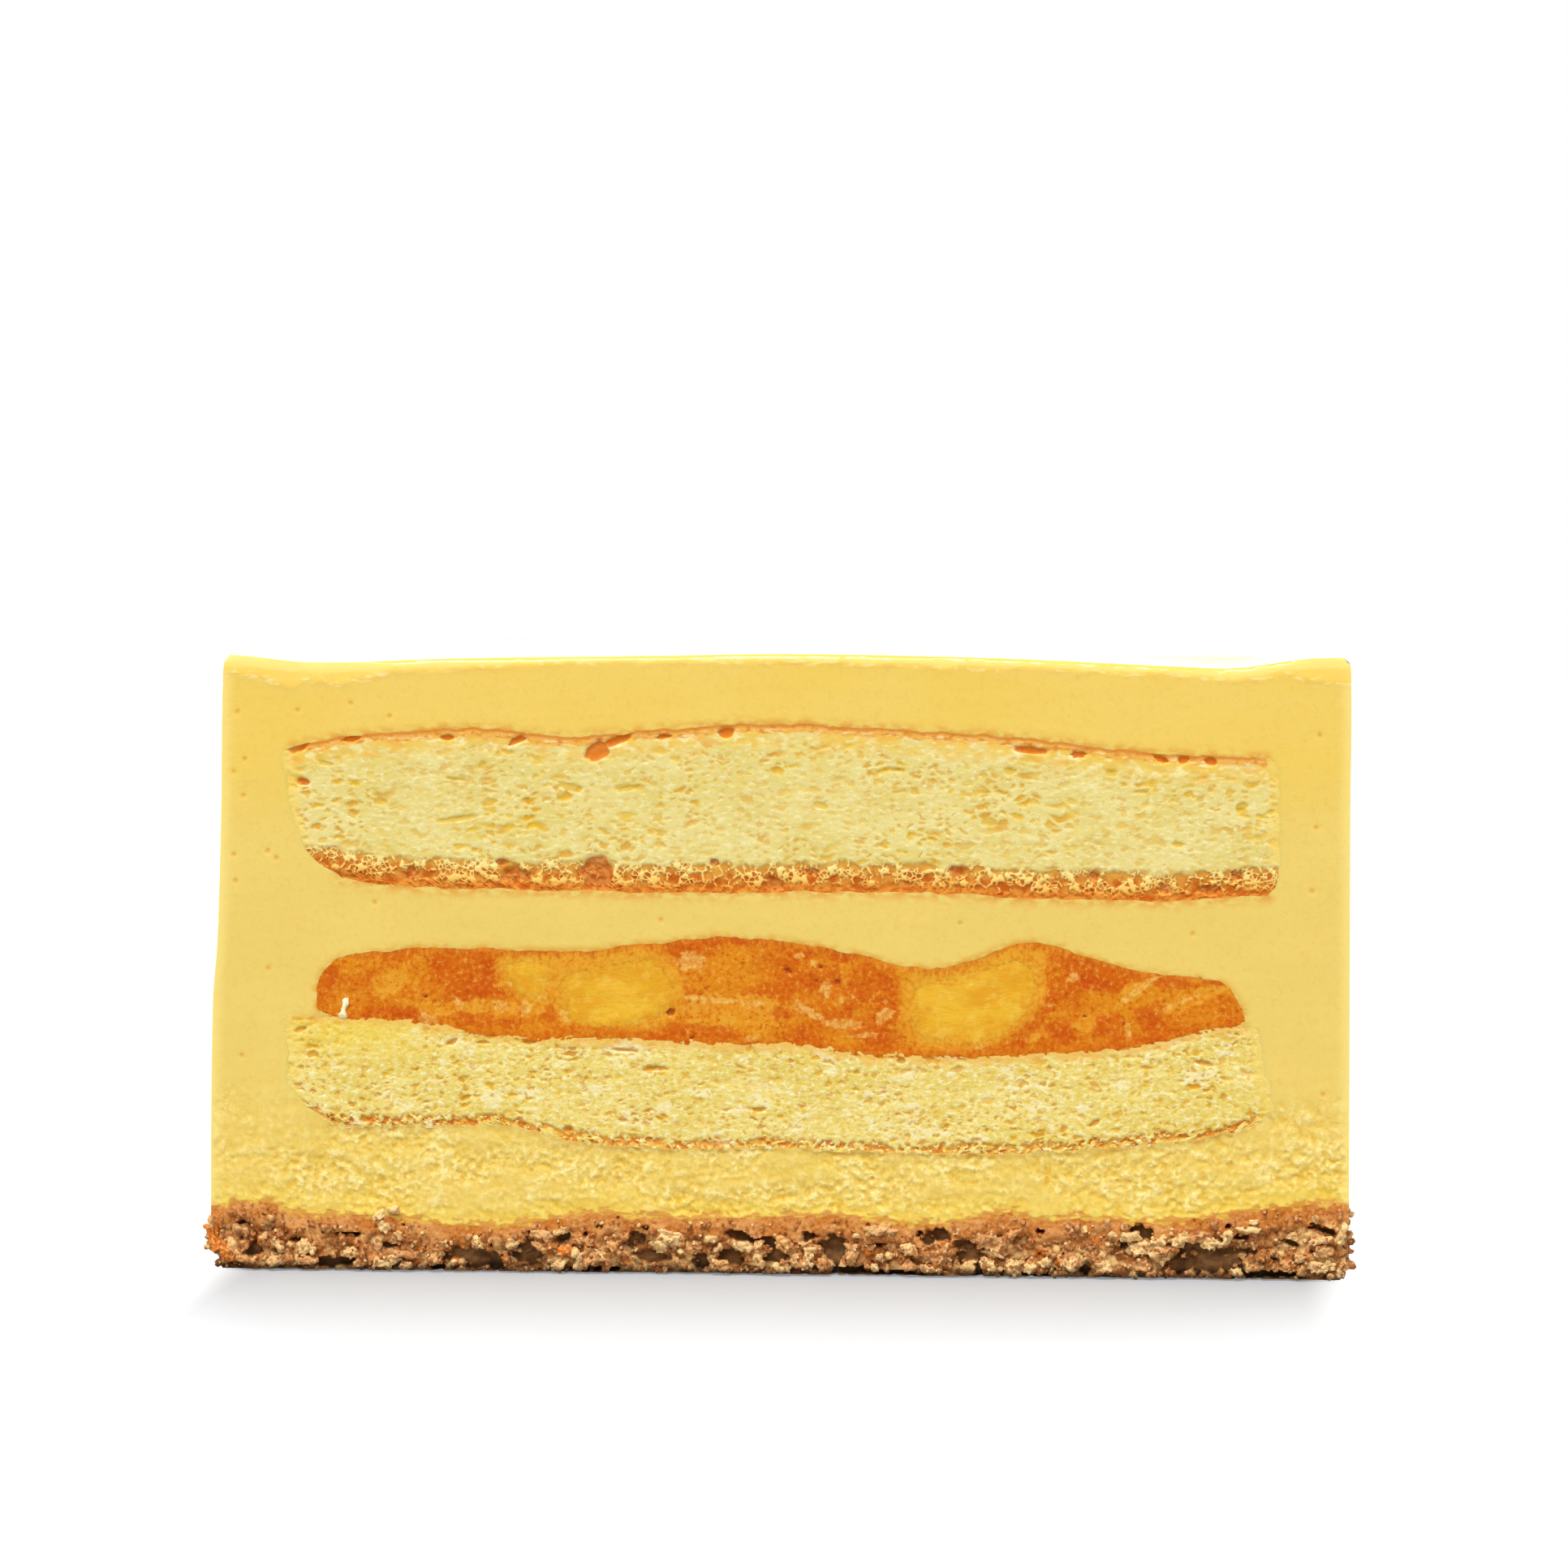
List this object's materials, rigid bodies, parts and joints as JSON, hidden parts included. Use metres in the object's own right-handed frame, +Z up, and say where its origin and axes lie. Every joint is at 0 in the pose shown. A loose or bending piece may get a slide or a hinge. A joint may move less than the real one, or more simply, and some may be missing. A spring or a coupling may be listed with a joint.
{
  "type": "mango mousse cake half",
  "caption": "Cut half of a round mango mousse cake: sponge layers and a mango filling with pieces of fruit inside the mousse, on a crumb base.",
  "frame": {"origin": "on the table, under the middle of the half cake, midway between the cut face and the back of the rim", "axes": "+X along the cut face to its right, +Y from the cut face towards the round back, +Z up"},
  "size_m": [0.1399, 0.0702, 0.077],
  "materials": {
    "mousse": "smooth pale mango yellow mousse, satin where the knife went through and glossy on top",
    "sponge": "matte open-pored yellow sponge with thin browned faces",
    "mango_filling": "moist translucent orange mango jelly",
    "mango_fruit": "moist yellow-orange fruit flesh",
    "crumb": "dry rough pressed biscuit crumb, mid brown with pale lumps"
  },
  "bodies": {
    "root": {"mousse": "mousse", "upper_sponge": "sponge", "lower_sponge": "sponge", "mango_filling": "mango_filling", "mango_piece_left": "mango_fruit", "mango_piece_middle": "mango_fruit", "mango_piece_right": "mango_fruit", "crumb_base": "crumb"}
  },
  "joints": []
}
